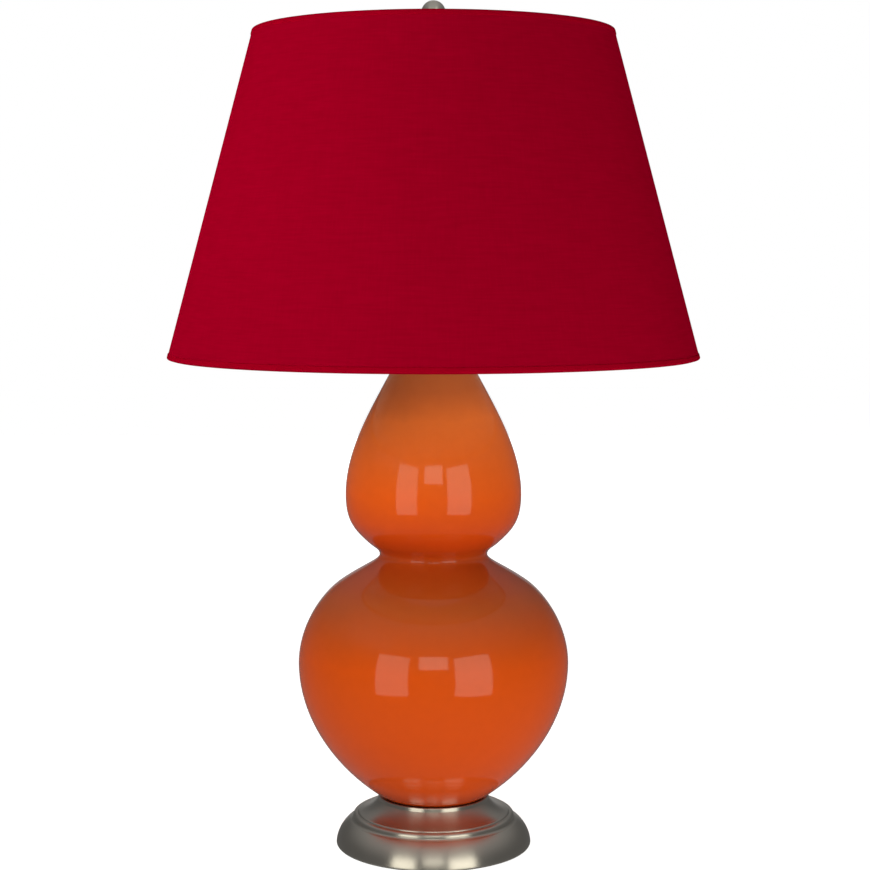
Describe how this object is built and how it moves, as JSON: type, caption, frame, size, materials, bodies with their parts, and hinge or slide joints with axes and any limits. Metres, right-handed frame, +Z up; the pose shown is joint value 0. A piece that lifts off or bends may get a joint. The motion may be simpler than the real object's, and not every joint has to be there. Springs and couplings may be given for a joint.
{
  "type": "table lamp",
  "caption": "Table lamp with a glazed double gourd ceramic body on a stepped metal foot, a turning cone shade on a harp and a ball finial.",
  "frame": {"origin": "centre of the underside, on the surface that the lamp stands on", "axes": "+Z up along the lamp's axis; -Y is the front, with the switch knob; +Y is the back, with the cord outlet; the harp lies in the XZ plane"},
  "size_m": [0.4825, 0.4826, 0.7734],
  "materials": {
    "antique_nickel": "antique satin nickel plate",
    "bright_nickel": "polished nickel plate",
    "zinc_steel": "zinc plated",
    "cast_weight": "as cast",
    "felt": "matt felt",
    "black_nylon": "moulded",
    "gasket_rubber": "moulded",
    "orange_glaze": "glossy glaze",
    "brass": "polished",
    "fibre_liner": "vulcanised fibre",
    "phenolic": "moulded",
    "frosted_glass": "frosted",
    "black_glass": "vitrite",
    "aluminium_cap": "bright rolled",
    "solder": "soldered",
    "red_fabric": "fine woven cloth",
    "white_liner": "laminated sheet",
    "ring_wire": "painted wire"
  },
  "bodies": {
    "lamp_stand": {"metal_base": "antique_nickel", "cord_bushing": "black_nylon", "base_weight": "cast_weight", "felt_pad": "felt", "base_washer": "zinc_steel", "base_lock_washer": "zinc_steel", "base_locknut": "zinc_steel", "threaded_pipe": "zinc_steel", "foot_gasket": "gasket_rubber", "ceramic_body": "orange_glaze", "neck_gasket": "gasket_rubber", "vase_cap": "antique_nickel", "neck_tube": "antique_nickel", "harp_saddle": "bright_nickel", "saddle_locknut": "zinc_steel", "harp_bow": "bright_nickel", "socket_cap": "bright_nickel", "socket_set_screw": "zinc_steel", "socket_shell": "bright_nickel", "socket_liner": "fibre_liner", "socket_insulator": "phenolic", "terminal_screws": "brass", "socket_screw_shell": "brass", "centre_contact": "brass", "ring_contact": "brass"},
    "switch": {"switch_shaft": "brass", "switch_knob": "phenolic"},
    "sleeve_left": {"harp_sleeve_left": "bright_nickel"},
    "sleeve_right": {"harp_sleeve_right": "bright_nickel"},
    "shade": {"harp_swivel_stud": "bright_nickel", "shade_spider": "bright_nickel", "shade_top_ring": "ring_wire", "shade_bottom_ring": "ring_wire", "shade_liner": "white_liner", "shade_fabric": "red_fabric", "shade_top_trim": "red_fabric", "shade_bottom_trim": "red_fabric"},
    "finial_core": {"finial_insert": "brass"},
    "finial": {"finial_knob": "antique_nickel"},
    "bulb_core": {"bulb_contact": "solder"},
    "bulb": {"bulb_glass": "frosted_glass", "bulb_cap": "aluminium_cap", "bulb_insulator": "black_glass"}
  },
  "joints": [
    {"name": "switch_turn", "type": "hinge", "parent": "lamp_stand", "child": "switch", "pos_m": [0, -0.02, 0.534], "axis": [0, -1, 0], "continuous": true},
    {"name": "sleeve_left_lift", "type": "slide", "parent": "lamp_stand", "child": "sleeve_left", "axis": [0, 0, 1], "range_m": [0, 0.015]},
    {"name": "sleeve_right_lift", "type": "slide", "parent": "lamp_stand", "child": "sleeve_right", "axis": [0, 0, 1], "range_m": [0, 0.015]},
    {"name": "shade_turn", "type": "hinge", "parent": "lamp_stand", "child": "shade", "pos_m": [0, 0, 0.6], "axis": [0, 0, 1], "continuous": true},
    {"name": "finial_rise", "type": "slide", "parent": "shade", "child": "finial_core", "axis": [0, 0, 1], "range_m": [0, 0.01222]},
    {"name": "finial_unscrew", "type": "hinge", "parent": "finial_core", "child": "finial", "pos_m": [0, 0, 0.75], "axis": [0, 0, 1], "range_deg": [0, 4680]},
    {"name": "bulb_rise", "type": "slide", "parent": "lamp_stand", "child": "bulb_core", "axis": [0, 0, 1], "range_m": [0, 0.01814]},
    {"name": "bulb_unscrew", "type": "hinge", "parent": "bulb_core", "child": "bulb", "pos_m": [0, 0, 0.6], "axis": [0, 0, 1], "range_deg": [0, 1800]}
  ],
  "couplings": [
    {"joint": "finial_unscrew", "follows": "finial_rise", "rad_per_m": 6679},
    {"joint": "bulb_unscrew", "follows": "bulb_rise", "rad_per_m": 1730.9}
  ]
}
